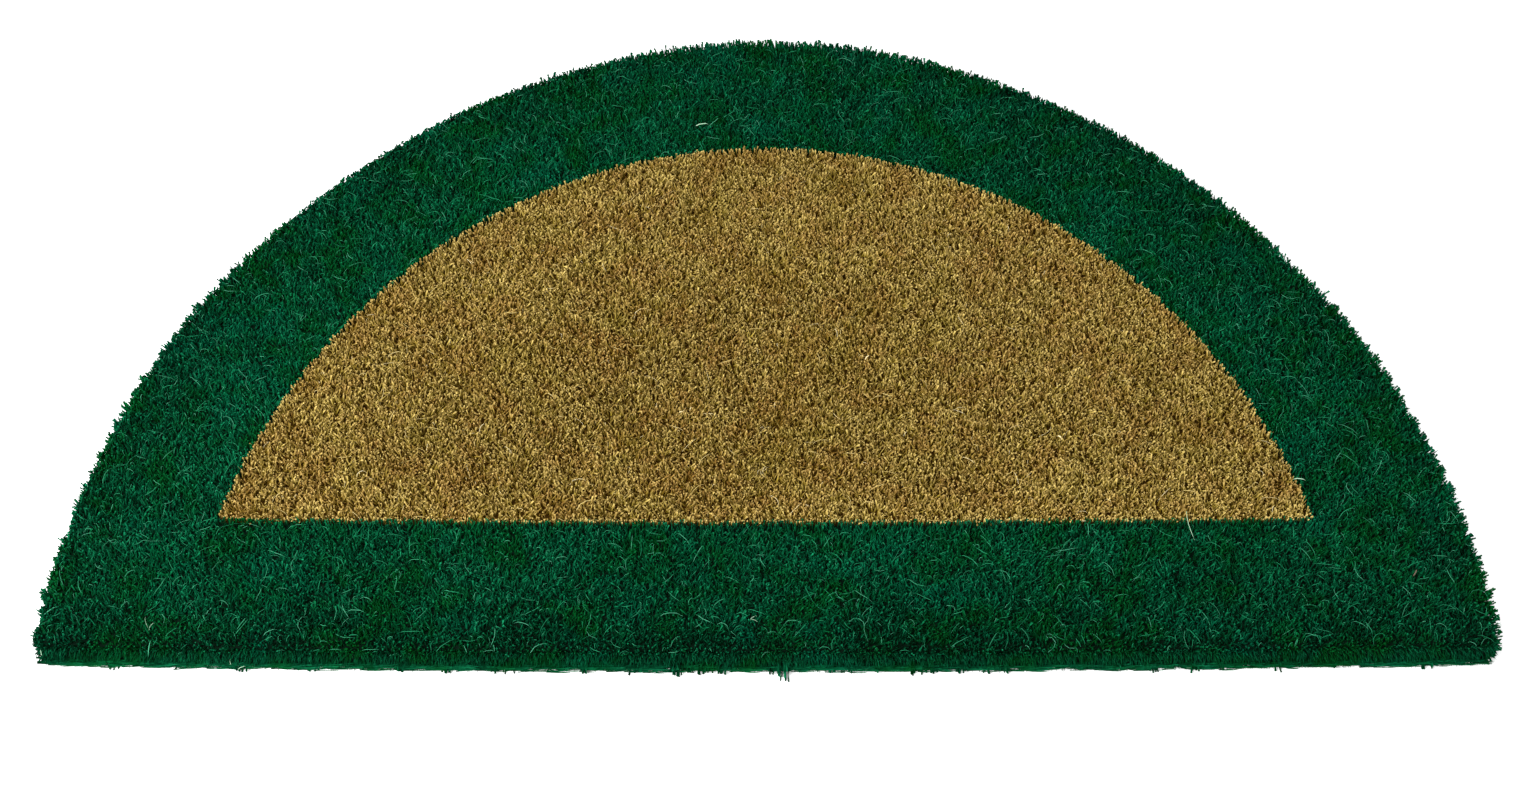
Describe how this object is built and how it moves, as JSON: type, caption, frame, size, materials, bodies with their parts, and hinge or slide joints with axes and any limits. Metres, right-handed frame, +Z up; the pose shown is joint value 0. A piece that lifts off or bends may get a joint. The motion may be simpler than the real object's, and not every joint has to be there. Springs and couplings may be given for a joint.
{
  "type": "half round doormat",
  "caption": "Half round coir doormat with a dyed border round a natural half round middle; it lies flat in front of a door.",
  "frame": {"origin": "on the floor, under the middle of the mat's box", "axes": "+X along the straight edge, +Y towards the round back, +Z up"},
  "size_m": [0.75, 0.4524, 0.015],
  "materials": {
    "dyed_coir": "short coarse coir pile, dyed dark green, matt",
    "natural_coir": "short coarse coir pile in its own golden tan, matt",
    "backing": "plain woven coir backing, matt"
  },
  "bodies": {
    "root": {"coir_mat": "dyed_coir"}
  },
  "joints": []
}
